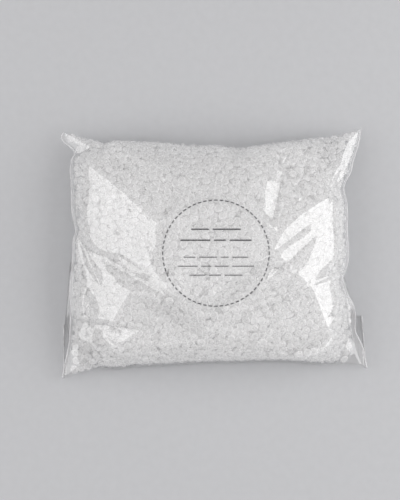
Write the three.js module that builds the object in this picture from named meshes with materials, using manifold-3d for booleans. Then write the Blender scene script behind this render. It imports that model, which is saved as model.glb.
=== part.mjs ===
// A clear film bag of loose plastic pellets, lying on its back.
// The bag is one side-welded pouch of thin film: a fold closes its far end, weld beads close its
// two sides, and the empty neck at its mouth is turned under the bag, where the flap holds it shut.
// Millimetres, +Z up. +X runs across the bag and +Y towards the closed fold. The origin is on the
// surface that the bag lies on, under the middle of its outline.
import * as THREE from 'three';
import { LoftGeometry } from 'three/addons/geometries/LoftGeometry.js';
import { mergeVertices } from 'three/addons/utils/BufferGeometryUtils.js';
import Module from 'manifold-3d';

const wasm = await Module();
wasm.setup();

// Outline of the filled bag, seen from above
const POUCH_WIDTH = 160; // across the four corners, which is also the width of the empty film
const WAIST_WIDTH = 143; // across the filled middle, where the sides are drawn in
const BAG_LENGTH = 128; // from the tips at the closed fold to the turn at the mouth
const FOLD_BOW = 7; // how far the middle of the closed fold is drawn in between its tips
const EAR_POWER = 4; // how suddenly the outline flares out into its corners

// Film
const FILM = 0.05; // thickness of one layer
const LAYER_GAP = 0.1; // between two layers that lie on each other
const WELD_WIDTH = 1.2; // bead along each side

// Filled height
const CROWN = 26; // rise of the front panel over the side welds
const BELLY = 30; // how far the back panel would hang under the welds if nothing carried it
const SIDE_LIFT = 8; // how far the welds rise half way along the sides
const ROUND_POWER = 3.3; // 2 gives a parabola, and more gives a flatter middle and steeper sides

// Mouth: the neck turned under the bag, and the flap that goes on from its outer layer
const TURN_RADIUS = 4;
const NECK_LENGTH = 27;
const FLAP_LENGTH = 31;
const FLAP_TAPER = 3; // at each end of the flap's edge
const FLAP_CORNER = 3; // radius
const FLAP_OVERLAP = 1; // where the flap runs on from the neck's outer layer
const UNDERLAY_GAP = 0.1; // between the turned neck and the back panel over it
const UNDERLAY_RAMP = 8; // length over which the back panel comes down past the flap's edge

// Fill
const FILL_CLEARANCE = 0.3; // between the pellets and the film

// Facets: cuts across the bag, along it, and round the turn at its mouth
const CUTS_ACROSS = 22;
const CUTS_ALONG = 20;
const CUTS_ROUND_TURN = 6;
const RIM_CUTS = 2; // left empty along the edges, where the panels close up to less than a pellet

const HALF_GAP = LAYER_GAP / 2;
const HALF_WELD = FILM + HALF_GAP;
const END_HEIGHT = 2 * TURN_RADIUS + HALF_WELD;
const CORNER_X = POUCH_WIDTH / 2 - WELD_WIDTH;
const WAIST_X = WAIST_WIDTH / 2 - WELD_WIDTH;
const FOLD_Y = BAG_LENGTH / 2;
const MOUTH_Y = -(BAG_LENGTH / 2 - TURN_RADIUS - HALF_WELD);
const NECK_END_Y = MOUTH_Y + NECK_LENGTH;
const FLAP_END_Y = NECK_END_Y + FLAP_LENGTH;
const UNDERLAY = 2 * HALF_WELD + UNDERLAY_GAP;

// Places from -1 to 1, closer together towards both ends, where the panels curve most.
function spacing(cuts) {
  return Array.from({ length: cuts + 1 }, (_, i) => Math.sin((Math.PI / 2) * ((2 * i) / cuts - 1)));
}

const ACROSS = spacing(CUTS_ACROSS).reverse();
const ALONG = spacing(CUTS_ALONG).reverse();

// The outline: a place across and along the bag, each from -1 to 1, as x and y.
function halfWidthAt(along) {
  return WAIST_X + (CORNER_X - WAIST_X) * Math.abs(along) ** EAR_POWER;
}

function planOf(across, along) {
  const foldReach = FOLD_Y - FOLD_BOW * (1 - Math.abs(across) ** EAR_POWER);
  return { x: across * halfWidthAt(along), y: along > 0 ? along * foldReach : -along * MOUTH_Y };
}

// The filled form: 1 in the middle of a panel and 0 all round its edge.
function fullness(across, along) {
  return (1 - Math.abs(across) ** ROUND_POWER) * (1 - Math.abs(along) ** ROUND_POWER);
}

// What carries the back panel: the turned neck and flap, and past them the surface itself.
function carriedAt(y) {
  return UNDERLAY * (1 - THREE.MathUtils.smoothstep(y, FLAP_END_Y, FLAP_END_Y + UNDERLAY_RAMP));
}

// Height of the middle of the weld, which rises from both ends of the bag to half way along it.
function weldHeight(along) {
  return END_HEIGHT + SIDE_LIFT * (1 - along ** 2);
}

// Heights of the two panels' outer faces.
function frontHeight(across, along) {
  return weldHeight(along) + HALF_WELD + CROWN * fullness(across, along);
}

function backHeight(across, along) {
  const hanging = weldHeight(along) - HALF_WELD - BELLY * fullness(across, along);
  return Math.max(carriedAt(planOf(across, along).y), hanging);
}

// One closed ring round the filled part, from the right over the front panel to the left and back
// under it. Depth is how far the ring lies inside the film's outer face.
function filledRing(across, along, depth) {
  const at = (place, height) => {
    const { x, y } = planOf(place, along);
    return new THREE.Vector3(x, y, height);
  };
  const over = across.map((place) => at(place, frontHeight(place, along) - depth));
  const under = across.map((place) => at(place, backHeight(place, along) + depth));
  return [...over, ...under.reverse()];
}

// One closed ring of the empty neck, at a turn from 0, where it leaves the bag, to half a turn,
// where it lies under the bag with its front layer below.
function neckRing(turn, run, depth) {
  const half = HALF_WELD - depth;
  const out = new THREE.Vector3(0, -Math.sin(turn), Math.cos(turn));
  const spine = new THREE.Vector3(0, MOUTH_Y + run, END_HEIGHT - TURN_RADIUS);
  const layer = (place, side) =>
    spine
      .clone()
      .addScaledVector(out, TURN_RADIUS + side * half)
      .setX(place * CORNER_X);
  const over = ACROSS.map((place) => layer(place, 1));
  const under = ACROSS.map((place) => layer(place, -1));
  return [...over, ...under.reverse()];
}

// The weld bead goes on outwards from both ends of a ring's two layers.
function withWelds(ring) {
  const last = ring.length / 2 - 1;
  const beside = (point, way) => point.clone().setX(point.x + way * WELD_WIDTH);
  const over = ring.slice(0, last + 1);
  const under = ring.slice(last + 1);
  return [
    beside(over[0], 1),
    ...over,
    beside(over[last], -1),
    beside(under[0], -1),
    ...under,
    beside(under[last], 1),
  ];
}

// A ring pressed flat, which closes the end of a loft along a line and moves it on by a step in y.
function pinched(ring, step) {
  return ring.map((point, i) => {
    const facing = ring[ring.length - 1 - i];
    return new THREE.Vector3(point.x, point.y + step, (point.z + facing.z) / 2);
  });
}

// A closed geometry as a solid, with the faces that a pinched end leaves without area dropped.
function solidOf(geometry) {
  const bare = new THREE.BufferGeometry();
  bare.setAttribute('position', geometry.getAttribute('position'));
  bare.setIndex(geometry.index);
  const merged = mergeVertices(bare);
  const triVerts = [];
  for (let i = 0; i < merged.index.count; i += 3) {
    const [a, b, c] = merged.index.array.slice(i, i + 3);
    if (a !== b && b !== c && c !== a) triVerts.push(a, b, c);
  }
  const vertProperties = new Float32Array(merged.attributes.position.array);
  return new wasm.Manifold(
    new wasm.Mesh({ numProp: 3, vertProperties, triVerts: new Uint32Array(triVerts) }),
  );
}

function geometryOf(solid) {
  const { vertProperties, triVerts } = solid.getMesh();
  const geometry = new THREE.BufferGeometry();
  geometry.setAttribute('position', new THREE.BufferAttribute(vertProperties, 3));
  geometry.setIndex(new THREE.BufferAttribute(triVerts, 1));
  geometry.computeVertexNormals();
  return geometry;
}

// The rings of the whole pouch at a depth: the filled part, the turn at the mouth and the neck.
function pouchRings(depth) {
  const filled = ALONG.slice(1, -1).map((along) => filledRing(ACROSS, along, depth));
  const turn = Array.from({ length: CUTS_ROUND_TURN + 1 }, (_, i) =>
    neckRing((Math.PI * i) / CUTS_ROUND_TURN, 0, depth),
  );
  return [...filled, ...turn, neckRing(Math.PI, NECK_LENGTH, depth)];
}

// The pouch's outside, with its weld beads, from the closed fold to the lips of its mouth.
function pouchOutside() {
  const rings = pouchRings(0).map(withWelds);
  const fold = pinched(withWelds(filledRing(ACROSS, 1, 0)), 0);
  const lips = pinched(rings.at(-1), FILM);
  return solidOf(new LoftGeometry([fold, ...rings, lips]));
}

// The pouch's hollow, one layer of film inside it. It runs out past the lips, so the mouth is open.
function pouchHollow() {
  const rings = pouchRings(FILM);
  const fold = pinched(filledRing(ACROSS, 1 - HALF_WELD / FOLD_Y, FILM), 0);
  const past = pinched(rings.at(-1), FLAP_OVERLAP);
  return solidOf(new LoftGeometry([fold, ...rings, past]));
}

// The flap: the front layer goes on past the mouth as a single sheet with slightly tapered ends.
function flap() {
  const root = POUCH_WIDTH / 2;
  const tip = root - FLAP_TAPER;
  const start = NECK_END_Y - FLAP_OVERLAP;
  const shape = new THREE.Shape();
  shape.moveTo(-root, start);
  shape.lineTo(root, start);
  shape.lineTo(tip, FLAP_END_Y - FLAP_CORNER);
  shape.quadraticCurveTo(tip, FLAP_END_Y, tip - FLAP_CORNER, FLAP_END_Y);
  shape.lineTo(-tip + FLAP_CORNER, FLAP_END_Y);
  shape.quadraticCurveTo(-tip, FLAP_END_Y, -tip, FLAP_END_Y - FLAP_CORNER);
  return solidOf(new THREE.ExtrudeGeometry(shape, { depth: FILM, bevelEnabled: false, curveSegments: 4 }));
}

function filmBag() {
  const film = pouchOutside().subtract(pouchHollow()).add(flap());
  const clearFilm = new THREE.MeshStandardMaterial({
    color: 0xf4f6f8,
    roughness: 0.08,
    metalness: 0,
    transparent: true,
    opacity: 0.25,
  });
  const mesh = new THREE.Mesh(geometryOf(film), clearFilm);
  mesh.name = 'film_bag';
  return mesh;
}

// The loose pellets, taken together: they fill the pouch to within a clearance of its film.
function pelletFill() {
  const depth = FILM + FILL_CLEARANCE;
  const across = ACROSS.slice(RIM_CUTS, -RIM_CUTS);
  const rings = ALONG.slice(RIM_CUTS, -RIM_CUTS).map((along) => filledRing(across, along, depth));
  const [foldEnd, mouthEnd] = [ALONG.at(RIM_CUTS - 1), ALONG.at(-RIM_CUTS)].map((along) =>
    pinched(filledRing(across, along, depth), 0),
  );
  const milkyPlastic = new THREE.MeshStandardMaterial({ color: 0xe2e1e2, roughness: 0.4, metalness: 0 });
  const fill = solidOf(new LoftGeometry([foldEnd, ...rings, mouthEnd]));
  const mesh = new THREE.Mesh(geometryOf(fill), milkyPlastic);
  mesh.name = 'pellet_fill';
  return mesh;
}

const bagOfPellets = new THREE.Group();
bagOfPellets.name = 'bag_of_pellets';
bagOfPellets.add(filmBag(), pelletFill());

export default bagOfPellets;
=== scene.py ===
"""A clear film bag of loose milky plastic pellets, lying on its back under soft studio light."""

import math

import bpy
import numpy as np
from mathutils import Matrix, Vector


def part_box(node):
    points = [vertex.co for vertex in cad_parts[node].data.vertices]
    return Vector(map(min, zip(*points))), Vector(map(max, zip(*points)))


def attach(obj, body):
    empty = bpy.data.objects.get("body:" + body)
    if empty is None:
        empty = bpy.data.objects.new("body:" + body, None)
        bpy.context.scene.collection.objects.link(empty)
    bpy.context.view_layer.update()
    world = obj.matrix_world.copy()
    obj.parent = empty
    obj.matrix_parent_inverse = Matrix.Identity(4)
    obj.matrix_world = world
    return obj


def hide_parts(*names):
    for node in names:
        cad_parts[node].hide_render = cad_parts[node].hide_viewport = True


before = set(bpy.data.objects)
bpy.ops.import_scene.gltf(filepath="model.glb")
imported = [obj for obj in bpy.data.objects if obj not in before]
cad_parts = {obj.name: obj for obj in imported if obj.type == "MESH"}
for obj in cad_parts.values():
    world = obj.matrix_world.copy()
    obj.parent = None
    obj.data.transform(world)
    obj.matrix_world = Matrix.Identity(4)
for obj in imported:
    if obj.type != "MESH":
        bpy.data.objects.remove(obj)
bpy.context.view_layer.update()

MM = 0.001
film_low, film_high = (np.array(corner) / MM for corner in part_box("film_bag"))
HALF_WIDTH, HALF_LENGTH = film_high[0], film_high[1]

# Sizes are in millimetres, here and in all sections
WELD_WIDTH = 1.6  # flat film along each side
WELD_HALF = 0.1  # half the thickness of both layers at a weld
END_HEIGHT = 8.1  # of the welds, at the fold and at the mouth
SIDE_LIFT = 8.0  # how far the welds rise half way along the sides
CROWN = film_high[2] - END_HEIGHT - SIDE_LIFT - WELD_HALF
BELLY = 30.0  # how far the back panel would hang under the welds if nothing carried it
UNDERLAY = 0.5  # height at which the turned neck and the flap carry the back panel

# How far each edge of the filled pouch is drawn in from the side of the flat film, by the place along
# it, with the notches beside the ears
LEFT_DRAWN_IN = (
    (-64.5, 0), (-57, 1.6), (-51, 3), (-45, 4.1), (-36, 4.6), (-29, 5.2), (-20, 4.6), (-8, 5.6), (2, 6.2),
    (8, 6.6), (11, 7.7), (14, 7.2), (18, 6.2), (35, 5.1), (45, 4.6), (49.5, 5.4), (52, 6.6), (54.5, 5.1),
    (57.7, 1.0), (61, -0.4), (64, 1),
)
RIGHT_DRAWN_IN = (
    (-59.5, 0.4), (-54.6, 1.5), (-48.4, 3), (-45, 4.6), (-42, 6.2), (-39, 6.9), (-35, 6.7), (-29.6, 7.2),
    (-23.4, 9.8), (-20.3, 11.9), (-17, 13.4), (-14, 14), (-11, 12.9), (-7, 11.5), (12, 11.3), (27, 11.6),
    (32.8, 12.9), (36, 12.4), (42, 9.3), (48.4, 7.7), (54.6, 5.6), (61, 4.1), (65, 3.4),
)
FOLD_DRAWN_IN = (
    (-80, 0.8), (-76, 1.4), (-66, 3.8), (-61, 5.3), (-57.7, 6.4), (-54.5, 5.2), (-47, 4.7), (-35, 5.2),
    (-24, 5.8), (-14, 7), (2, 7.3), (12, 8.4), (22, 7.3), (33, 5.8), (43, 4.2), (54, 3.2), (64, 2.1),
    (70, 0), (77, -1),
)
MOUTH_DRAWN_IN = (
    (-80, -0.5), (-71, 1.6), (-61, 4.1), (-52, 3.7), (-45, 4.7), (-24, 5.8), (-9, 6.8), (12, 7.3), (33, 7.8),
    (43, 7.3), (54, 6.3), (74, 5.8), (80, 4.7),
)
# The same edges as plain bows, which the film follows away from the rim: how far they are drawn in half
# way, how suddenly they flare into the corners, and how soon the notches fade away from the rim
LEFT_WAIST, RIGHT_WAIST, END_WAIST = 6.0, 11.0, 6.5
FLARE_POWER = 4
NOTCH_FADE = 16
PLACE_ROUNDS = 30


def through(knots, at):
    """The value at each place of a smooth line through the knots."""
    places, values = np.array(knots, float).T
    slopes = np.gradient(values, places)
    i = np.clip(np.searchsorted(places, at) - 1, 0, len(places) - 2)
    span = places[i + 1] - places[i]
    t = np.clip((at - places[i]) / span, 0, 1)
    rising = t * t * (3 - 2 * t)
    leaving, arriving = t * (1 - t) ** 2 * span, t * t * (t - 1) * span
    return values[i] * (1 - rising) + values[i + 1] * rising + leaving * slopes[i] + arriving * slopes[i + 1]


def sides_at(y):
    """The left and right edge of the filled pouch at a place along it."""
    return film_low[0] + through(LEFT_DRAWN_IN, y), film_high[0] - through(RIGHT_DRAWN_IN, y)


def ends_at(x):
    """The mouth and fold edge of the filled pouch at a place across it."""
    return film_low[1] + through(MOUTH_DRAWN_IN, x), film_high[1] - through(FOLD_DRAWN_IN, x)


def share(place, low, high):
    """A place between two edges, as -1 at the low one to 1 at the high one."""
    return (2 * place - low - high) / (high - low)


def shares_at(x, y):
    """A place as shares across the pouch, and along it towards the fold."""
    return share(x, *sides_at(y)), share(y, *ends_at(x))


def place_at(across, along):
    """The place that has these shares, found by settling x and y in turn."""
    x, y = across * HALF_WIDTH, along * HALF_LENGTH
    for _ in range(PLACE_ROUNDS):
        left, right = sides_at(y)
        x = (left + right + across * (right - left)) / 2
        mouth, fold = ends_at(x)
        y = (mouth + fold + along * (fold - mouth)) / 2
    return x, y


# How the panel rises from an edge: a higher power of roundness is flatter in the middle, and a lower
# one of steepness is fuller at the edge. Between the crown and the two ends it falls like a roof.
LEFT_ROUND, RIGHT_ROUND, SIDE_STEEP = 1.8, 2.5, 0.6
ROOF_FALL, ROOF_ROUND = 0.5, 1.6
END_ROUND, END_STEEP = 10, 0.5
HIP_RADIUS = 1.0  # rounds the line where the fall to a side meets the fall to an end
# How flat the film lies in each ear, and how far out that begins: left and right, at mouth and fold
EAR_THINNING = np.array(((0.8, 0.75), (0.88, 0.8)))
EAR_START = np.array(((0.45, 0.62), (0.5, 0.3)))
EAR_FLAT = 0.85  # how far out it is flattest


def softer_min(a, b, reach):
    """The lower of two heights, rounded where they meet."""
    h = np.clip(0.5 + (b - a) / (2 * reach), 0, 1)
    return b + (a - b) * h - reach * h * (1 - h)


def rim_shares(x, y):
    """Shares from -1 to 1 that follow the notches only close to an edge, and how far into a corner."""
    across, along = np.clip(np.abs(shares_at(x, y)), 0, 1)
    plain_across = 1 - np.clip(np.abs(x / HALF_WIDTH), 0, 1) ** FLARE_POWER
    plain_along = 1 - np.clip(np.abs(y / HALF_LENGTH), 0, 1) ** FLARE_POWER
    plain_sides = film_low[0] + LEFT_WAIST * plain_along, film_high[0] - RIGHT_WAIST * plain_along
    plain_ends = film_low[1] + END_WAIST * plain_across, film_high[1] - END_WAIST * plain_across
    sides = [p + (n - p) * across**NOTCH_FADE for p, n in zip(plain_sides, sides_at(y))]
    ends = [p + (n - p) * along**NOTCH_FADE for p, n in zip(plain_ends, ends_at(x))]
    return share(x, *sides), share(y, *ends), across * along


def weld_height(x, y):
    """The height of the welds, level with a place on the bag."""
    along = np.clip(shares_at(x, y)[1], -1, 1)
    return END_HEIGHT + SIDE_LIFT * (1 - along**2)


def fullness(x, y):
    """How full the pouch is at a place: 1 at the crown and 0 along the edges."""
    across, along, cornering = rim_shares(x, y)
    roundness = np.where(across < 0, LEFT_ROUND, RIGHT_ROUND)
    ear = (across > 0).astype(int), (along > 0).astype(int)
    across = np.clip(np.abs(across) * HALF_WIDTH / (HALF_WIDTH - WELD_WIDTH), 0, 1)
    along = np.clip(np.abs(along), 0, 1)
    from_sides = (1 - across**roundness) ** SIDE_STEEP
    from_ends = (1 - ROOF_FALL * along**ROOF_ROUND) * (1 - along**END_ROUND) ** END_STEEP
    t = np.clip((cornering - EAR_START[ear]) / (EAR_FLAT - EAR_START[ear]), 0, 1)
    thinner = EAR_THINNING[ear] * t * t * (3 - 2 * t)
    return softer_min(from_sides, from_ends, HIP_RADIUS / CROWN) * (1 - thinner)


def round_front(x, y):
    """The front panel without its hips and folds."""
    weld = weld_height(x, y)
    return weld + WELD_HALF + (END_HEIGHT + SIDE_LIFT + CROWN - weld) * fullness(x, y)


# Hips of the front panel: from, to, and how steeply the film falls away on the left of that line
HIPS = (
    ((-69, 48), (-29.1, 15.5), 0.15),
    ((-32, -10), (-29.1, 15.5), 0.26),
    ((32.5, 10.7), (61.1, 30.2), 0.12),
    ((57, 31), (71, 61), -0.07),
    ((49.4, -17.9), (31.2, 0.3), 0.1),
    ((60, -43), (49.4, -17.9), 0.0),
    ((-44, -20.5), (-57, -42), 0.1),
    ((-57, -42), (-70, -55), 0.05),
)
HIP_CLOSING = 0.6  # how steeply a hip's facet rises out of the panel past the ends of its line
# Folds of the front panel, which are lens-shaped and sharp along the middle: from, to, depth, and width
# on the left and right of that line
FOLDS = (
    ((-70, 5), (-19, -24.5), 3.6, 7.2, 8.5),
    ((-51, 1), (-36, -10), 0.6, 1, 3),
    ((-73, 14), (-58, -18), 2.8, 7, 3.5),
    ((-66, -18), (-64, -39), 2.6, 6, 3),
    ((-80, -34), (-38, -39), 3.6, 3, 11),
    ((60, 25.5), (29, 0.5), 1.3, 4.5, 5.5),
    ((52, 10.5), (25, -15), 2.0, 7.5, 4.5),
    ((90, 2), (45.5, -17.3), 2.6, 3, 8),
    ((68, -29.5), (55, -34), 0.6, 1.5, 2.5),
    ((67, -36.5), (57, -38.5), 0.5, 1.5, 2),
    ((36.8, 50), (28.5, 12), 2.2, 1.5, 7.5),
    ((65.5, 44), (58, 25), 1.2, 4.5, 1),
    ((44, 31.5), (52.5, 41.5), 0.4, 1, 1),
    ((42, 25.5), (47.5, 31.5), 0.35, 1, 1),
)
FOLD_CREASE = 1.1  # 1 is a straight-sided fold, and more is a sharper one
FOLD_TIP = 0.001  # share of its width that a fold keeps at its tips
# Dents: middle, radius and depth
DENTS = (((12, 54), 8, 1.6),)
# Small waves all over: how many, their lengths and height, and how high over the welds the film is free
WAVE_COUNT = 24
WAVE_LENGTHS = (9, 24)
WAVE_HEIGHT = 0.02
WAVE_FREE = 4
FILM_SEED = 7

film_random = np.random.default_rng(FILM_SEED)
wave_turns = film_random.uniform(0, math.tau, WAVE_COUNT)
wave_numbers = math.tau / film_random.uniform(*WAVE_LENGTHS, WAVE_COUNT)
wave_starts = film_random.uniform(0, math.tau, WAVE_COUNT)


def beside_line(x, y, start, end):
    """Places as a distance along a line and one to the left of it, with the line's length."""
    length = math.dist(start, end)
    ux, uy = (end[0] - start[0]) / length, (end[1] - start[1]) / length
    run = (x - start[0]) * ux + (y - start[1]) * uy
    off = (y - start[1]) * ux - (x - start[0]) * uy
    return run, off, length


def front_height(x, y):
    """The front panel, with its hips, folds, dents and waves."""
    floor = weld_height(x, y) + WELD_HALF
    height = round_front(x, y)
    for start, end, fall in HIPS:
        run, off, length = beside_line(x, y, start, end)
        held = np.clip(run / length, 0, 1)
        ridge = round_front(*(a + held * (b - a) for a, b in zip(start, end)))
        facet = ridge - fall * off + HIP_CLOSING * np.abs(run - held * length)
        height = np.where(off > 0, np.minimum(height, facet), height)
    for start, end, depth, left, right in FOLDS:
        run, off, length = beside_line(x, y, start, end)
        fade = np.clip(1 - (2 * run / length - 1) ** 2, FOLD_TIP, 1)
        near = np.clip(1 - np.abs(off) / (fade * np.where(off > 0, left, right)), 0, 1)
        height = height - depth * fade * near**FOLD_CREASE
    for (dent_x, dent_y), radius, depth in DENTS:
        near = np.clip(1 - ((x - dent_x) ** 2 + (y - dent_y) ** 2) / radius**2, 0, 1)
        height = height - depth * near**2
    free = np.clip((height - floor) / WAVE_FREE, 0, 1)
    for turn, number, begin in zip(wave_turns, wave_numbers, wave_starts):
        wave = np.sin(number * (x * math.cos(turn) + y * math.sin(turn)) + begin)
        height = height + free * WAVE_HEIGHT * wave
    return np.maximum(height, floor)


def back_height(x, y):
    """The back panel, which hangs from the welds until the turned neck and the flap carry it."""
    return np.maximum(UNDERLAY, weld_height(x, y) - WELD_HALF - BELLY * fullness(x, y))


# How finely a panel is cut up, and how its cuts crowd towards the edges: 0 spaces them evenly
CUTS_ACROSS, CUTS_ALONG = 230, 185
EDGE_CROWDING = 0.6


def panel_shares(cuts):
    """Shares from -1 to 1, closer together towards both edges, where the film turns most."""
    t = np.linspace(-1, 1, cuts + 1)
    return (1 - EDGE_CROWDING) * t + EDGE_CROWDING * np.sin(t * math.pi / 2)


def grid_faces(index):
    """The four-sided faces of a grid of point numbers, which turn from its first axis to its second."""
    corners = index[:-1, :-1], index[1:, :-1], index[1:, 1:], index[:-1, 1:]
    return np.stack([corner.ravel() for corner in corners], axis=1)


def pouch_mesh():
    """Front and back panel as one closed skin that meets along the rim."""
    x, y = place_at(*np.meshgrid(panel_shares(CUTS_ACROSS), panel_shares(CUTS_ALONG), indexing="ij"))
    front = np.stack([x, y, front_height(x, y)], axis=-1)
    rim = np.ones(x.shape, bool)
    rim[1:-1, 1:-1] = False
    front[rim, 2] = weld_height(x, y)[rim]
    back = np.stack([x, y, back_height(x, y)], axis=-1)
    front_index = np.arange(x.size).reshape(x.shape)
    back_index = front_index.copy()
    back_index[~rim] = x.size + np.arange((~rim).sum())
    points = np.concatenate([front.reshape(-1, 3), back[~rim]])
    return points, np.concatenate([grid_faces(front_index), grid_faces(back_index)[:, ::-1]])


# The mouth: the empty neck of the pouch is turned under the bag, two layers thick, and goes on as a
# single flap that is stuck to the back panel. Both stay as wide as flat film, so their edges show
# beside the drawn-in bag.
TURN_BULGE = 1.2  # how far the turn stands out past the mouth
TURN_CUTS = 8
NECK_END_LEFT, NECK_END_RIGHT = -38.0, -33.0  # where the neck's lips lie, at both sides
NECK_LAYERS = 0.2
NECK_DRIFT = -2.3  # how far the right end of the lips is pulled across
TABLE_GAP = 0.02  # under the neck
FLAP_END = -5.0
FLAP_LAYER = 0.1
FLAP_STEP_LEFT, FLAP_STEP_RIGHT = 0.8, 3.0  # in from the sides, where the flap leaves the neck
FLAP_TAPER_LEFT, FLAP_TAPER_RIGHT = 2.8, 9.0  # further in, at the flap's edge
FLAP_CUTS = 4
STRIP_CUTS = 80


def strip_mesh(rows, thickness, outward):
    """A closed strip of film: rows of points, and the same rows moved out by its thickness."""
    rows, outward = np.array(rows), np.array(outward)
    shape = rows.shape[:2]
    index = np.arange(rows[..., 0].size).reshape(shape)
    under = index + index.size
    points = np.concatenate([rows.reshape(-1, 3), (rows + outward * thickness).reshape(-1, 3)])
    faces = [grid_faces(index), grid_faces(under)[:, ::-1]]
    for edge in (np.s_[0, :], np.s_[-1, ::-1], np.s_[::-1, 0], np.s_[:, -1]):
        faces.append(grid_faces(np.stack([index[edge], under[edge]], axis=1)))
    return points, np.concatenate(faces)


def neck_end(x):
    """Where the neck's lips lie under the bag: they were turned under a little askew."""
    to_right = (x / HALF_WIDTH + 1) / 2
    return x + NECK_DRIFT * to_right, NECK_END_LEFT + (NECK_END_RIGHT - NECK_END_LEFT) * to_right


def neck_mesh():
    """From the mouth edge round the turn and flat under the bag."""
    x = np.linspace(film_low[0], film_high[0], STRIP_CUTS + 1)
    mouth = ends_at(x)[0]
    middle = END_HEIGHT / 2
    rows, outward = [], []
    for turn in np.linspace(0, math.pi, TURN_CUTS + 1):
        y = mouth - TURN_BULGE * math.sin(turn)
        z = np.full(x.shape, middle + (middle - NECK_LAYERS) * math.cos(turn))
        rows.append(np.stack([x, y, z], axis=1))
        outward.append(np.tile([0, -math.sin(turn), -abs(math.cos(turn))], (len(x), 1)))
    rows.append(np.stack([*neck_end(x), np.full(x.shape, NECK_LAYERS)], axis=1))
    outward.append(np.tile([0, 0, -1], (len(x), 1)))
    return strip_mesh(rows, NECK_LAYERS - TABLE_GAP, outward)


def flap_mesh():
    """One layer, from the neck's end to the flap's edge, with tapered ends."""
    rows = []
    for t in np.linspace(0, 1, FLAP_CUTS + 1):
        left = film_low[0] + FLAP_STEP_LEFT + FLAP_TAPER_LEFT * t
        right = film_high[0] - FLAP_STEP_RIGHT - FLAP_TAPER_RIGHT * t
        x, lips = neck_end(np.linspace(left, right, STRIP_CUTS + 1))
        y = lips + (FLAP_END - lips) * t
        rows.append(np.stack([x, y, np.full(x.shape, NECK_LAYERS)], axis=1))
    return strip_mesh(rows, FLAP_LAYER, np.tile([0, 0, -1], (*np.shape(rows)[:2], 1)))


def joined(*meshes):
    """Several meshes as one list of points and one of faces."""
    points, faces, begin = [], [], 0
    for mesh_points, mesh_faces in meshes:
        points.append(mesh_points)
        faces.append(mesh_faces + begin)
        begin += len(mesh_points)
    return np.concatenate(points), np.concatenate(faces)


def made(name, points, faces, material):
    """An object of these points, in millimetres, and faces."""
    mesh = bpy.data.meshes.new(name)
    mesh.from_pydata((points * MM).tolist(), [], faces.tolist())
    mesh.shade_smooth()
    mesh.materials.append(material)
    piece = bpy.data.objects.new(name, mesh)
    bpy.context.scene.collection.objects.link(piece)
    return piece


def linear(colour):
    """An sRGB hex colour as linear RGBA."""
    channels = [int(colour[i : i + 2], 16) / 255 for i in (1, 3, 5)]
    return (*(c / 12.92 if c <= 0.04045 else ((c + 0.055) / 1.055) ** 2.4 for c in channels), 1)


def add_node(tree, kind, inputs=(), **settings):
    """A node with its settings and its inputs: a socket is linked, and anything else is set."""
    node = tree.nodes.new(kind)
    for name, value in settings.items():
        setattr(node, name, value)
    for key, value in dict(inputs).items():
        if isinstance(value, bpy.types.NodeSocket):
            tree.links.new(value, node.inputs[key])
        else:
            node.inputs[key].default_value = value
    return node


def new_material(name):
    """A material without nodes, and the tree that takes them."""
    material = bpy.data.materials.new(name)
    material.use_nodes = True
    material.node_tree.nodes.clear()
    return material, material.node_tree


# Cast polypropylene film: clear and hard to see where it faces the eye, with sharp pale reflections of
# the lights wherever it is stretched, stronger where it turns away.
FILM_GLOSS = 0.125
FILM_EDGE_POWER = 5.0  # how late the gloss rises as the film turns away
FILM_ROUGHNESS = 0.06
clear_film, nodes = new_material("clear_polypropylene_film")
facing = add_node(nodes, "ShaderNodeLayerWeight", {"Blend": 0.5})
turning = add_node(
    nodes, "ShaderNodeMath", {0: facing.outputs["Facing"], 1: FILM_EDGE_POWER}, operation="POWER"
)
gloss = add_node(
    nodes, "ShaderNodeMapRange", {"Value": turning.outputs[0], "To Min": FILM_GLOSS, "To Max": 1.0}
)
see_through = add_node(nodes, "ShaderNodeBsdfTransparent", {"Color": linear("#ffffff")})
shine = add_node(nodes, "ShaderNodeBsdfGlossy", {"Color": linear("#ffffff"), "Roughness": FILM_ROUGHNESS})
film_mix = add_node(
    nodes, "ShaderNodeMixShader", {0: gloss.outputs[0], 1: see_through.outputs[0], 2: shine.outputs[0]}
)
add_node(nodes, "ShaderNodeOutputMaterial", {"Surface": film_mix.outputs[0]})

film = made("film_bag_clear", *joined(pouch_mesh(), neck_mesh(), flap_mesh()), clear_film)
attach(film, "root")
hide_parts("film_bag")

# The side welds: a hot blade cuts and melts both layers together, which leaves a fine milky bead along
# each side. It runs on past the mouth, down the edges of the turned neck.
BEAD_RADIUS = 0.3
BEAD_SIDES = 6
BEAD_STEPS = 90


def bead_path(side):
    """Points along one side weld, from the fold, round the turn at the mouth, to the neck's end."""
    x, y = place_at(np.full(BEAD_STEPS, float(side)), np.linspace(1, -1, BEAD_STEPS))
    along_bag = np.stack([x - side * BEAD_RADIUS, y, weld_height(x, y)], axis=1)
    turn = np.linspace(0, math.pi, TURN_CUTS + 1)[1:]
    middle = END_HEIGHT / 2
    neck_x = np.full(TURN_CUTS, side * (HALF_WIDTH - BEAD_RADIUS))
    round_turn = np.stack(
        [neck_x, y[-1] - TURN_BULGE * np.sin(turn), middle + (middle - BEAD_RADIUS) * np.cos(turn)], axis=1
    )
    return np.concatenate([along_bag, round_turn, [[*neck_end(neck_x[0]), BEAD_RADIUS]]])


def new_tree(name, **sizes):
    """A geometry nodes tree with a named input for each size, and the sockets that these come from."""
    tree = bpy.data.node_groups.new(name, "GeometryNodeTree")
    for size, kind in {"Geometry": "Geometry", **sizes}.items():
        tree.interface.new_socket(size, in_out="INPUT", socket_type="NodeSocket" + kind)
    tree.interface.new_socket("Geometry", in_out="OUTPUT", socket_type="NodeSocketGeometry")
    return tree, add_node(tree, "NodeGroupInput").outputs


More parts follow.
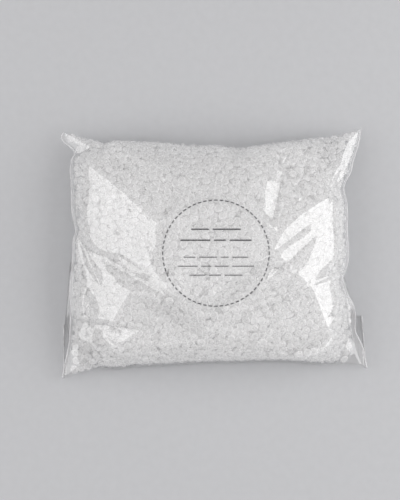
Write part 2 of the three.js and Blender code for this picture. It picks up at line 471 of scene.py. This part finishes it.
def end_tree(tree, geometry, material):
    """The end of a tree, where its geometry takes a material and goes out."""
    painted = add_node(tree, "GeometryNodeSetMaterial", {"Geometry": geometry, "Material": material})
    add_node(tree, "NodeGroupOutput", {"Geometry": painted.outputs[0]})
    return tree


def bead_tree(material):
    """Geometry nodes that sweep a round bead along a line of edges."""
    tree, size = new_tree("weld_bead", Radius="Float", Sides="Int")
    line = add_node(tree, "GeometryNodeMeshToCurve", {"Mesh": size["Geometry"]})
    section = add_node(
        tree, "GeometryNodeCurvePrimitiveCircle", {"Resolution": size["Sides"], "Radius": size["Radius"]}
    )
    swept = add_node(
        tree,
        "GeometryNodeCurveToMesh",
        {"Curve": line.outputs[0], "Profile Curve": section.outputs[0], "Fill Caps": True},
    )
    smooth = add_node(tree, "GeometryNodeSetShadeSmooth", {"Geometry": swept.outputs[0]})
    return end_tree(tree, smooth.outputs[0], material)


def grown(name, carrier, tree, **sizes):
    """The mesh that a geometry nodes tree makes on a carrier, as a plain object in its place."""
    holder = bpy.data.objects.new(name + "_points", carrier)
    bpy.context.scene.collection.objects.link(holder)
    modifier = holder.modifiers.new("grow", "NODES")
    modifier.node_group = tree
    for item in tree.interface.items_tree:
        if item.in_out == "INPUT" and item.name in sizes:
            modifier[item.identifier] = sizes[item.name]
    evaluated = holder.evaluated_get(bpy.context.evaluated_depsgraph_get())
    mesh = bpy.data.meshes.new_from_object(evaluated)
    mesh.name = name
    piece = bpy.data.objects.new(name, mesh)
    bpy.data.objects.remove(holder)
    bpy.context.scene.collection.objects.link(piece)
    return piece


# Melted polypropylene: the same film, run together and hazed by the blade, so the edge shows as a fine
# pale line that breaks up a little along its length.
BEAD_BREAKS = 6  # from one paler stretch to the next
CLEAREST_BEAD, MILKIEST_BEAD = 0.25, 0.6
NOISE_LOW, NOISE_HIGH = 0.35, 0.65  # most of what a noise gives lies between these
melted_film, nodes = new_material("melted_polypropylene")
spots = add_node(nodes, "ShaderNodeTexCoord")
haze = add_node(
    nodes, "ShaderNodeTexNoise", {"Vector": spots.outputs["Object"], "Scale": 1 / (BEAD_BREAKS * MM)}
)
milkiness = add_node(
    nodes,
    "ShaderNodeMapRange",
    {
        "Value": haze.outputs[0],
        "From Min": NOISE_LOW,
        "From Max": NOISE_HIGH,
        "To Min": CLEAREST_BEAD,
        "To Max": MILKIEST_BEAD,
    },
)
bead_skin = add_node(
    nodes,
    "ShaderNodeBsdfPrincipled",
    {"Base Color": linear("#f4f4f5"), "Roughness": 0.25, "IOR": 1.49, "Alpha": milkiness.outputs[0]},
)
add_node(nodes, "ShaderNodeOutputMaterial", {"Surface": bead_skin.outputs[0]})

bead_points = np.stack([bead_path(-1), bead_path(1)])
bead_index = np.arange(bead_points[..., 0].size).reshape(bead_points.shape[:2])
bead_edges = np.stack([bead_index[:, :-1].ravel(), bead_index[:, 1:].ravel()], axis=1)
bead_lines = bpy.data.meshes.new("weld_lines")
bead_lines.from_pydata((bead_points.reshape(-1, 3) * MM).tolist(), bead_edges.tolist(), [])
beads = grown("weld_beads", bead_lines, bead_tree(melted_film), Radius=BEAD_RADIUS * MM, Sides=BEAD_SIDES)
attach(beads, "root")
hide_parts("film_bag")

# The print: grey ink on the front panel, a dashed ring with rows of plain short bars in it. It lies on the
# film and follows it.
RING_MIDDLE = (0.2, 0.0)
RING_RADIUS = 26.7
RING_DASHES = 60
DASH_LENGTH, DASH_WIDTH = 1.8, 0.55
# Rows of bars: height in the ring, width of a bar, and the lengths of the bars
PRINT_ROWS = (
    (12.0, 0.7, (9, 14)),
    (6.5, 0.7, (15, 6, 11)),
    (-2.0, 0.45, (6, 9, 4, 8)),
    (-6.5, 0.45, (10, 5, 7, 11)),
    (-11.0, 0.45, (8, 6, 9)),
)
BAR_GAP = 1.8
BAR_CUTS = 8
INK_THICKNESS = 0.02
INK_LIFT = 0.03
RAY_TOP, RAY_LENGTH = 1000, 2000  # the film is looked for from well over the bag to well under it


def print_tree(material):
    """Geometry nodes that put a thin bar of ink on each point and lay it down on the film."""
    tree, size = new_tree("print", Film="Object", Lift="Float")
    bar = add_node(
        tree,
        "GeometryNodeMeshCube",
        {"Size": (1, 1, 1), "Vertices X": BAR_CUTS + 1, "Vertices Y": 2, "Vertices Z": 2},
    )
    extent = add_node(tree, "GeometryNodeInputNamedAttribute", {"Name": "extent"}, data_type="FLOAT_VECTOR")
    turn = add_node(tree, "GeometryNodeInputNamedAttribute", {"Name": "turn"}, data_type="FLOAT_VECTOR")
    bars = add_node(
        tree,
        "GeometryNodeInstanceOnPoints",
        {
            "Points": size["Geometry"],
            "Instance": bar.outputs[0],
            "Rotation": turn.outputs[0],
            "Scale": extent.outputs[0],
        },
    )
    real = add_node(tree, "GeometryNodeRealizeInstances", {"Geometry": bars.outputs[0]})
    film_there = add_node(
        tree, "GeometryNodeObjectInfo", {"Object": size["Film"]}, transform_space="RELATIVE"
    )
    place = add_node(tree, "GeometryNodeInputPosition")
    split = add_node(tree, "ShaderNodeSeparateXYZ", {0: place.outputs[0]})
    above = add_node(
        tree, "ShaderNodeCombineXYZ", {0: split.outputs[0], 1: split.outputs[1], 2: RAY_TOP * MM}
    )
    ray = add_node(
        tree,
        "GeometryNodeRaycast",
        {
            "Target Geometry": film_there.outputs["Geometry"],
            "Source Position": above.outputs[0],
            "Ray Direction": (0, 0, -1),
            "Ray Length": RAY_LENGTH * MM,
        },
    )
    lifted = add_node(tree, "ShaderNodeMath", {0: split.outputs[2], 1: size["Lift"]}, operation="ADD")
    lift = add_node(tree, "ShaderNodeCombineXYZ", {2: lifted.outputs[0]})
    laid = add_node(
        tree, "ShaderNodeVectorMath", {0: ray.outputs["Hit Position"], 1: lift.outputs[0]}, operation="ADD"
    )
    on_film = add_node(
        tree, "GeometryNodeSetPosition", {"Geometry": real.outputs[0], "Position": laid.outputs[0]}
    )
    return end_tree(tree, on_film.outputs[0], material)


# Solvent ink on film: a dull dark grey that lies a little thinner in places.
INK_MOTTLE = 0.8  # across one thinner spot
grey_ink, nodes = new_material("grey_solvent_ink")
spots = add_node(nodes, "ShaderNodeTexCoord")
mottle = add_node(
    nodes, "ShaderNodeTexNoise", {"Vector": spots.outputs["Object"], "Scale": 1 / (INK_MOTTLE * MM)}
)
ink_colour = add_node(
    nodes,
    "ShaderNodeMix",
    {0: mottle.outputs[0], 6: linear("#3c3c3e"), 7: linear("#59595c")},
    data_type="RGBA",
)
ink = add_node(nodes, "ShaderNodeBsdfPrincipled", {"Base Color": ink_colour.outputs[2], "Roughness": 0.45})
add_node(nodes, "ShaderNodeOutputMaterial", {"Surface": ink.outputs[0]})

dash_turns = np.arange(RING_DASHES) * math.tau / RING_DASHES
dash_places = RING_RADIUS * np.stack([np.cos(dash_turns), np.sin(dash_turns), 0 * dash_turns], axis=1)
bar_places, bar_extents = [], []
for y, width, lengths in PRINT_ROWS:
    x = -(sum(lengths) + BAR_GAP * (len(lengths) - 1)) / 2
    for length in lengths:
        bar_places.append((x + length / 2, y, 0))
        bar_extents.append((length, width, INK_THICKNESS))
        x += length + BAR_GAP
print_places = np.concatenate([dash_places, bar_places]) + [*RING_MIDDLE, 0]
print_extents = [(DASH_LENGTH, DASH_WIDTH, INK_THICKNESS)] * RING_DASHES + bar_extents
print_turns = [(0, 0, turn + math.pi / 2) for turn in dash_turns] + [(0, 0, 0)] * len(bar_places)
print_points = bpy.data.meshes.new("print_points")
print_points.from_pydata((print_places * MM).tolist(), [], [])
for name, values in (("extent", np.array(print_extents) * MM), ("turn", np.array(print_turns))):
    attribute = print_points.attributes.new(name, "FLOAT_VECTOR", "POINT")
    attribute.data.foreach_set("vector", values.ravel())
printed = grown("print_ring", print_points, print_tree(grey_ink), Film=film, Lift=INK_LIFT * MM)
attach(printed, "root")

# The pellets: lentil-shaped grains of milky low-density polyethylene, cut from an extruded strand while
# soft. They are loose, and settle against the film and each other.
PELLET_DIAMETER = 4.6
PELLET_THICKNESS = 2.8
PELLET_SPACING = 3.75  # between middles: some lie edge to edge, and some lie face to face
PELLET_TILT = 9  # degrees, from flat to the film
GROWTH_LEAST = (0.9, 0.86, 0.86)
GROWTH_MOST = (1.08, 1.06, 1.14)
PACKED_SHARE = 0.60
SETTLING_STEPS = 90
SETTLING_PUSH = 1.6  # more than 1 settles them sooner
LEAST_TOUCHING = 2  # neighbours that share a push, at the least
LEAST_DISTANCE = 1e-6  # so that two in one place don't divide by nothing
FILM_CLEARANCE = 0.15
RIM_GAP = 1.0  # film beside the outermost pellets
SIDE_MARGIN = RIM_GAP + PELLET_DIAMETER / 2
END_MARGIN = PELLET_DIAMETER / 2
# The film's heights are looked up in a raster that reaches a little past the bag
RASTER = 0.5
RASTER_PAST_SIDES, RASTER_PAST_ENDS = 1, 2
RASTER_LAST = 1.001  # keeps a place inside the last cell
PELLET_SEED = 41

pellet_random = np.random.default_rng(PELLET_SEED)
raster_x = np.arange(film_low[0] - RASTER_PAST_SIDES, film_high[0] + RASTER_PAST_SIDES, RASTER)
raster_y = np.arange(film_low[1] - RASTER_PAST_ENDS, film_high[1] + RASTER_PAST_ENDS, RASTER)
raster_grid = np.meshgrid(raster_x, raster_y, indexing="ij")
front_map = front_height(*raster_grid)
back_map = back_height(*raster_grid)
beyond_film = np.max(np.abs(shares_at(*raster_grid)), axis=0) >= 1
front_map[beyond_film] = back_map[beyond_film] = END_HEIGHT
front_slopes = np.gradient(front_map, RASTER)
back_slopes = np.gradient(back_map, RASTER)


def sampled(raster, x, y):
    """A raster's values at places between its points."""
    i = np.clip((x - raster_x[0]) / RASTER, 0, len(raster_x) - RASTER_LAST)
    j = np.clip((y - raster_y[0]) / RASTER, 0, len(raster_y) - RASTER_LAST)
    i0, j0 = i.astype(int), j.astype(int)
    s, t = i - i0, j - j0
    low = raster[i0, j0] * (1 - s) + raster[i0 + 1, j0] * s
    high = raster[i0, j0 + 1] * (1 - s) + raster[i0 + 1, j0 + 1] * s
    return low * (1 - t) + high * t


def past_panel(points, front):
    """How far each pellet stands through the front or back panel, and that panel's outward direction."""
    raster, slopes, way = (front_map, front_slopes, 1) if front else (back_map, back_slopes, -1)
    x, y, z = points.T
    normal = np.stack([-sampled(slopes[0], x, y), -sampled(slopes[1], x, y), np.ones(len(x))], axis=1)
    normal /= way * np.linalg.norm(normal, axis=1, keepdims=True)
    return (z - sampled(raster, x, y)) * normal[:, 2] + PELLET_THICKNESS / 2 + FILM_CLEARANCE, normal


def near_pairs(points, reach):
    """Numbers of the pairs of points in the same or a neighbouring cell of a grid of that spacing."""
    cell = np.floor((points - points.min(0)) / reach).astype(int) + 1
    rows, columns = cell[:, 0].max() + 2, cell[:, 1].max() + 2
    stride = np.array([1, rows, rows * columns])
    key = cell @ stride
    order = np.argsort(key, kind="stable")
    ordered = key[order]
    steps = (-1, 0, 1)
    around = [(i, j, k) for i in steps for j in steps for k in steps if (k, j, i) >= (0, 0, 0)]
    first, second = [], []
    for step in around:
        begin = np.searchsorted(ordered, key + np.dot(step, stride), "left")
        end = np.searchsorted(ordered, key + np.dot(step, stride), "right")
        for nth in range((end - begin).max()):
            mine = np.flatnonzero(begin + nth < end)
            other = order[begin[mine] + nth]
            once = mine < other if step == (0, 0, 0) else mine != other
            first.append(mine[once])
            second.append(other[once])
    return np.concatenate(first), np.concatenate(second)


def settled_pellets():
    """Pellet centres: scattered through the pouch, then pushed apart and back inside its film."""
    room = np.clip(front_map - back_map, 0, None)
    count = int(PACKED_SHARE * room.sum() * RASTER**2 / (math.pi / 6 * PELLET_SPACING**3))
    chance = (room / room.sum()).ravel()
    i, j = np.unravel_index(pellet_random.choice(room.size, count, p=chance), room.shape)
    jitter = pellet_random.random((3, count))
    x, y = raster_x[i] + jitter[0] * RASTER, raster_y[j] + jitter[1] * RASTER
    points = np.stack([x, y, back_map[i, j] + room[i, j] * jitter[2]], axis=1)
    for _ in range(SETTLING_STEPS):
        a, b = near_pairs(points, PELLET_SPACING)
        apart = points[a] - points[b]
        far = np.linalg.norm(apart, axis=1)
        close = far < PELLET_SPACING
        a, b, apart, far = a[close], b[close], apart[close], far[close]
        push = apart * ((PELLET_SPACING - far) / 2 / np.maximum(far, LEAST_DISTANCE))[:, None]
        touching = np.bincount(a, minlength=count) + np.bincount(b, minlength=count)
        for axis in range(3):
            move = np.bincount(a, push[:, axis], count) - np.bincount(b, push[:, axis], count)
            points[:, axis] += move * SETTLING_PUSH / np.maximum(touching, LEAST_TOUCHING)
        for front in (True, False):
            over, normal = past_panel(points, front)
            points -= normal * np.clip(over, 0, None)[:, None]
        left, right = sides_at(points[:, 1])
        points[:, 0] = np.clip(points[:, 0], left + SIDE_MARGIN, right - SIDE_MARGIN)
        mouth, fold = ends_at(points[:, 0])
        points[:, 1] = np.clip(points[:, 1], mouth + END_MARGIN, fold - END_MARGIN)
    return points


def pellet_tree(material):
    """Geometry nodes that put a pellet on each point, flat to the way the point faces."""
    tree, size = new_tree(
        "pellets",
        Diameter="Float",
        Thickness="Float",
        Tilt="Float",
        Segments="Int",
        Rings="Int",
        Seed="Int",
    )
    ball = add_node(
        tree,
        "GeometryNodeMeshUVSphere",
        {"Segments": size["Segments"], "Rings": size["Rings"], "Radius": 0.5},
    )
    place = add_node(tree, "GeometryNodeInputPosition")
    # The ball is 1 across, so twice the distance from its axis is 1 at its rim
    flat = add_node(
        tree, "ShaderNodeVectorMath", {0: place.outputs[0], 1: (2, 2, 0)}, operation="MULTIPLY"
    )
    from_axis = add_node(tree, "ShaderNodeVectorMath", {0: flat.outputs[0]}, operation="LENGTH")
    rimmed = add_node(
        tree,
        "GeometryNodeStoreNamedAttribute",
        {"Geometry": ball.outputs["Mesh"], "Name": "rim", "Value": from_axis.outputs["Value"]},
        data_type="FLOAT",
        domain="POINT",
    )
    lentil_size = add_node(
        tree, "ShaderNodeCombineXYZ", {0: size["Diameter"], 1: size["Diameter"], 2: size["Thickness"]}
    )
    lentil = add_node(
        tree, "GeometryNodeTransform", {"Geometry": rimmed.outputs[0], "Scale": lentil_size.outputs[0]}
    )
    faced = add_node(tree, "GeometryNodeInputNamedAttribute", {"Name": "facing"}, data_type="FLOAT_VECTOR")
    aligned = add_node(
        tree, "FunctionNodeAlignRotationToVector", {"Vector": faced.outputs[0]}, axis="Z"
    )
    least_tilt = add_node(tree, "ShaderNodeMath", {0: size["Tilt"], 1: -1.0}, operation="MULTIPLY")
    low = add_node(
        tree, "ShaderNodeCombineXYZ", {0: least_tilt.outputs[0], 1: least_tilt.outputs[0], 2: 0.0}
    )
    high = add_node(tree, "ShaderNodeCombineXYZ", {0: size["Tilt"], 1: size["Tilt"], 2: math.tau})
    tilt = add_node(
        tree,
        "FunctionNodeRandomValue",
        {0: low.outputs[0], 1: high.outputs[0], "Seed": size["Seed"]},
        data_type="FLOAT_VECTOR",
    )
    tilted = add_node(
        tree,
        "FunctionNodeRotateRotation",
        {"Rotation": aligned.outputs[0], "Rotate By": tilt.outputs[0]},
        rotation_space="LOCAL",
    )
    growth = add_node(
        tree,
        "FunctionNodeRandomValue",
        {0: GROWTH_LEAST, 1: GROWTH_MOST, "Seed": size["Seed"]},
        data_type="FLOAT_VECTOR",
    )
    grains = add_node(
        tree,
        "GeometryNodeInstanceOnPoints",
        {
            "Points": size["Geometry"],
            "Instance": lentil.outputs[0],
            "Rotation": tilted.outputs[0],
            "Scale": growth.outputs[0],
        },
    )
    tone = add_node(
        tree, "FunctionNodeRandomValue", {2: 0.0, 3: 1.0, "Seed": size["Seed"]}, data_type="FLOAT"
    )
    toned = add_node(
        tree,
        "GeometryNodeStoreNamedAttribute",
        {"Geometry": grains.outputs[0], "Name": "tone", "Value": tone.outputs[1]},
        data_type="FLOAT",
        domain="INSTANCE",
    )
    real = add_node(tree, "GeometryNodeRealizeInstances", {"Geometry": toned.outputs[0]})
    smooth = add_node(tree, "GeometryNodeSetShadeSmooth", {"Geometry": real.outputs[0]})
    return end_tree(tree, smooth.outputs[0], material)


# Low-density polyethylene, natural: it takes almost no light but scatters it, so a pellet is a milky disc
# that shows its neighbours through its thin middle and is denser towards its rim.
THIN_SHARE, RIM_SHARE = 0.24, 0.58  # how much a pellet hides in its middle and at its rim
RIM_START = 0.5  # where it begins to grow denser, as a share of its radius
CLEARER, MILKIER = 0.85, 1.15
DULLER_MILK, WHITER_MILK = linear("#fefefe"), linear("#ffffff")
milky_plastic, nodes = new_material("milky_polyethylene")
rim = add_node(nodes, "ShaderNodeAttribute", attribute_name="rim")
tone = add_node(nodes, "ShaderNodeAttribute", attribute_name="tone")
density = add_node(
    nodes,
    "ShaderNodeMapRange",
    {"Value": rim.outputs["Fac"], "From Min": RIM_START, "To Min": THIN_SHARE, "To Max": RIM_SHARE},
)
grain = add_node(
    nodes, "ShaderNodeMapRange", {"Value": tone.outputs["Fac"], "To Min": CLEARER, "To Max": MILKIER}
)
cover = add_node(
    nodes, "ShaderNodeMath", {0: density.outputs[0], 1: grain.outputs[0]}, operation="MULTIPLY"
)
milk = add_node(
    nodes,
    "ShaderNodeMix",
    {0: tone.outputs["Fac"], 6: DULLER_MILK, 7: WHITER_MILK},
    data_type="RGBA",
)
skin = add_node(
    nodes,
    "ShaderNodeBsdfPrincipled",
    {
        "Base Color": milk.outputs[2],
        "Roughness": 0.18,
        "IOR": 1.51,
        "Sheen Weight": 1.0,
        "Sheen Roughness": 0.2,
        "Alpha": cover.outputs[0],
    },
)
add_node(nodes, "ShaderNodeOutputMaterial", {"Surface": skin.outputs[0]})

# The same plastic further in, where so much of it lies in the way that it no longer shows what is behind.
deep_plastic, nodes = new_material("milky_polyethylene_deep")
tone = add_node(nodes, "ShaderNodeAttribute", attribute_name="tone")
deep_milk = add_node(
    nodes,
    "ShaderNodeMix",
    {0: tone.outputs["Fac"], 6: DULLER_MILK, 7: WHITER_MILK},
    data_type="RGBA",
)
deep_skin = add_node(
    nodes, "ShaderNodeBsdfPrincipled", {"Base Color": deep_milk.outputs[2], "Roughness": 0.6}
)
add_node(nodes, "ShaderNodeOutputMaterial", {"Surface": deep_skin.outputs[0]})

# How many pellets show through the front panel and through the back one, with an allowance for those near
# the back one that the front has already; how deep under the film pellets lie flat to it; and how much
# the opaque ones further in are swollen, so that they leave no dark gaps
FRONT_COUNT, BACK_COUNT = 2700, 1900
SHOWN_TWICE = FRONT_COUNT // 4
FLAT_DEPTH = 1.2
CORE_SWELL = 1.5

pellets = settled_pellets()
over_front, front_way = past_panel(pellets, True)
over_back, back_way = past_panel(pellets, False)
front_rank = np.argsort(np.argsort(-over_front))
back_rank = np.argsort(np.argsort(-over_back))
in_front = front_rank < FRONT_COUNT
in_back = ~in_front & (back_rank < BACK_COUNT + SHOWN_TWICE)
loose_way = pellet_random.normal(size=pellets.shape)
pellet_way = np.where((over_back > over_front)[:, None], back_way, front_way)
at_film = np.maximum(over_front, over_back) > -FLAT_DEPTH
pellet_way = np.where(at_film[:, None], pellet_way, loose_way)

# The pellets nearest to the film have the finest mesh, and those that are never seen whole the coarsest
for name, chosen, segments, rings, seed, plastic, swell in (
    ("pellets_front", in_front, 12, 4, 1, milky_plastic, 1),
    ("pellets_back", in_back, 8, 4, 2, milky_plastic, 1),
    ("pellets_core", ~(in_front | in_back), 6, 3, 3, deep_plastic, CORE_SWELL),
):
    seats = bpy.data.meshes.new(name + "_seats")
    seats.from_pydata((pellets[chosen] * MM).tolist(), [], [])
    ways = seats.attributes.new("facing", "FLOAT_VECTOR", "POINT")
    ways.data.foreach_set("vector", pellet_way[chosen].ravel())
    grains = grown(
        name,
        seats,
        pellet_tree(plastic),
        Diameter=PELLET_DIAMETER * swell * MM,
        Thickness=PELLET_THICKNESS * swell * MM,
        Tilt=math.radians(PELLET_TILT),
        Segments=segments,
        Rings=rings,
        Seed=seed,
    )
    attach(grains, "root")
    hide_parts("pellet_fill")

# The studio: the bag lies on a plain pale table between two large soft lights, the right one stronger, in
# a pale room that is brightest overhead. The camera looks straight down through a long lens.
TABLE_HALF = 2000
TABLE_SPECKLE = 4  # across one speckle
# Soft lights: name, place, length and width, and radiance
SOFT_LIGHTS = (
    ("soft_light_left", (-578, 0, 455), (1000, 660), 1.2),
    ("soft_light_right", (625, 0, 391), (1000, 656), 1.9),
)
# How bright the room is at its walls and right overhead, and how closely the light gathers there
WALL_LEVEL, CEILING_LEVEL, CEILING_FOCUS = 0.45, 1.1, 7.0
VIEW_HEIGHT = 260  # what the picture takes in from its top to its bottom
VIEW_MIDDLE = (-7.8, 1.6, 12.0)
LENS, SENSOR = 110, 36

# Matt coated board: plain pale grey, with a faint speckle and no shine.
table_paint, nodes = new_material("matt_table_board")
spots = add_node(nodes, "ShaderNodeTexCoord")
speckle = add_node(
    nodes, "ShaderNodeTexNoise", {"Vector": spots.outputs["Object"], "Scale": 1 / (TABLE_SPECKLE * MM)}
)
board = add_node(
    nodes,
    "ShaderNodeMix",
    {0: speckle.outputs[0], 6: linear("#bdbec0"), 7: linear("#c3c4c6")},
    data_type="RGBA",
)
matt = add_node(nodes, "ShaderNodeBsdfPrincipled", {"Base Color": board.outputs[2], "Roughness": 0.8})
add_node(nodes, "ShaderNodeOutputMaterial", {"Surface": matt.outputs[0]})
corners = np.array([(-1, -1, 0), (1, -1, 0), (1, 1, 0), (-1, 1, 0)]) * TABLE_HALF
table = made("table", corners, np.array([[0, 1, 2, 3]]), table_paint)

for name, place, (length, width), radiance in SOFT_LIGHTS:
    lamp = bpy.data.lights.new(name, "AREA")
    lamp.shape = "RECTANGLE"
    lamp.size, lamp.size_y = width * MM, length * MM
    lamp.energy = radiance * math.pi * lamp.size * lamp.size_y
    light = bpy.data.objects.new(name, lamp)
    light.location = np.array(place) * MM
    light.rotation_euler = (0, math.atan2(place[0], place[2]), 0)
    bpy.context.scene.collection.objects.link(light)

world = bpy.data.worlds.new("studio")
world.use_nodes = True
world.node_tree.nodes.clear()
room = world.node_tree
ways = add_node(room, "ShaderNodeTexCoord")
upward = add_node(room, "ShaderNodeSeparateXYZ", {0: ways.outputs["Generated"]})
overhead = add_node(room, "ShaderNodeMath", {0: upward.outputs[2], 1: CEILING_FOCUS}, operation="POWER")
level = add_node(
    room,
    "ShaderNodeMapRange",
    {"Value": overhead.outputs[0], "To Min": WALL_LEVEL, "To Max": CEILING_LEVEL},
)
walls = add_node(
    room, "ShaderNodeBackground", {"Color": linear("#f6f4f5"), "Strength": level.outputs[0]}
)
add_node(room, "ShaderNodeOutputWorld", {"Surface": walls.outputs[0]})
bpy.context.scene.world = world

camera_data = bpy.data.cameras.new("camera")
camera_data.lens = LENS
camera_data.sensor_width = SENSOR
camera = bpy.data.objects.new("camera", camera_data)
camera.location = np.array(VIEW_MIDDLE) * MM + np.array([0, 0, VIEW_HEIGHT * MM * LENS / SENSOR])
bpy.context.scene.collection.objects.link(camera)
bpy.context.scene.camera = camera
bpy.context.scene.view_settings.view_transform = "Standard"

# Light goes from pellet to pellet many times before it comes out again
PELLET_BOUNCES = 96
bpy.context.scene.cycles.max_bounces = PELLET_BOUNCES
bpy.context.scene.cycles.diffuse_bounces = PELLET_BOUNCES
bpy.context.scene.cycles.transparent_max_bounces = PELLET_BOUNCES
